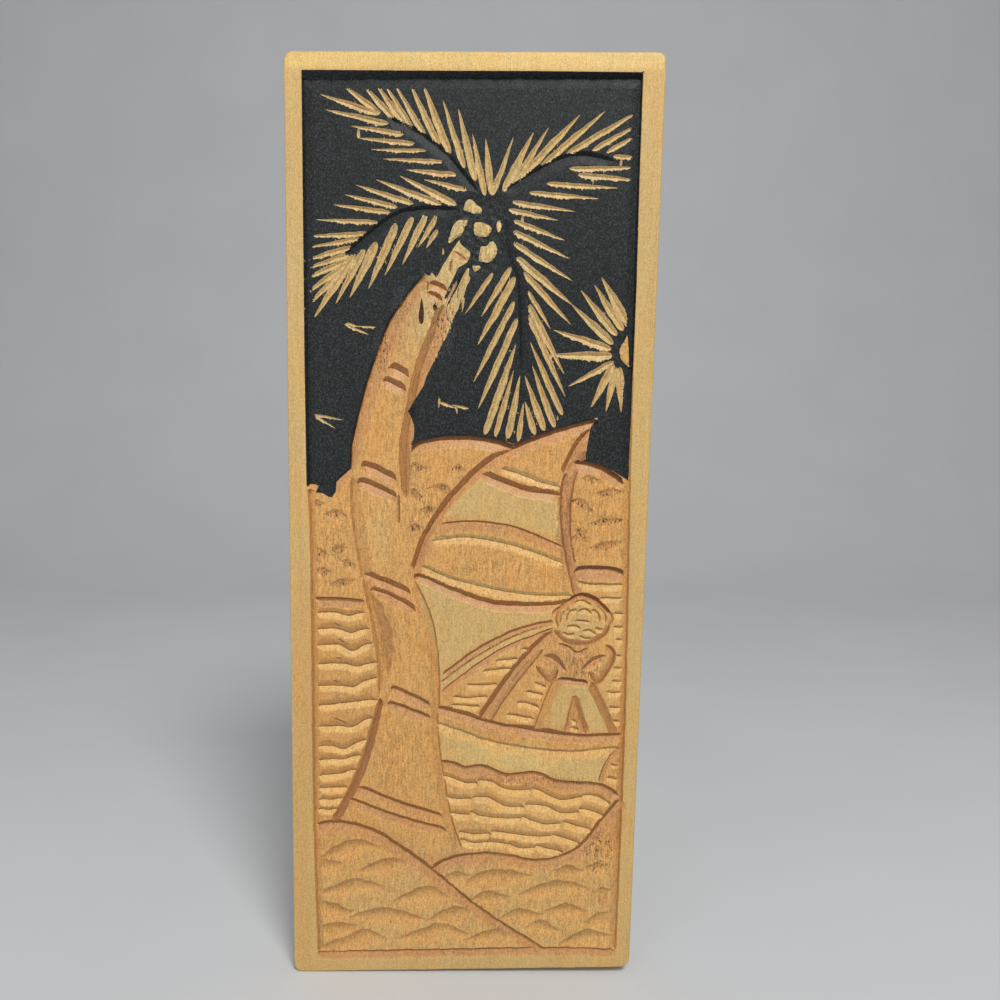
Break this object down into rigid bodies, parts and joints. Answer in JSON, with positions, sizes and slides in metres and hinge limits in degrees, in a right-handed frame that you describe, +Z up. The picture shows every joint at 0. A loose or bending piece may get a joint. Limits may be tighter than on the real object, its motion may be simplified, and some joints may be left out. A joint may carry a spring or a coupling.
{
  "type": "carved wood wall plaque",
  "caption": "Tall wall plaque carved in low relief from one wooden board: coconut palm, sailboat, fisherman, hills, sea and beach inside a plain rim, under a black painted sky.",
  "frame": {"origin": "middle of the flat back, which lies against the wall", "axes": "+Z up the picture, towards the palm's crown; +Y into the wall, so the carved face looks along -Y; +X to the right of someone facing the picture"},
  "size_m": [0.127, 0.013, 0.3318],
  "materials": {
    "carved_wood": "pale straight-grained board with a thin satin coat; black painted sky, raw wood in the leaf cuts, brown stain in the main grooves"
  },
  "bodies": {
    "root": {"carved_plaque": "carved_wood"}
  },
  "joints": []
}
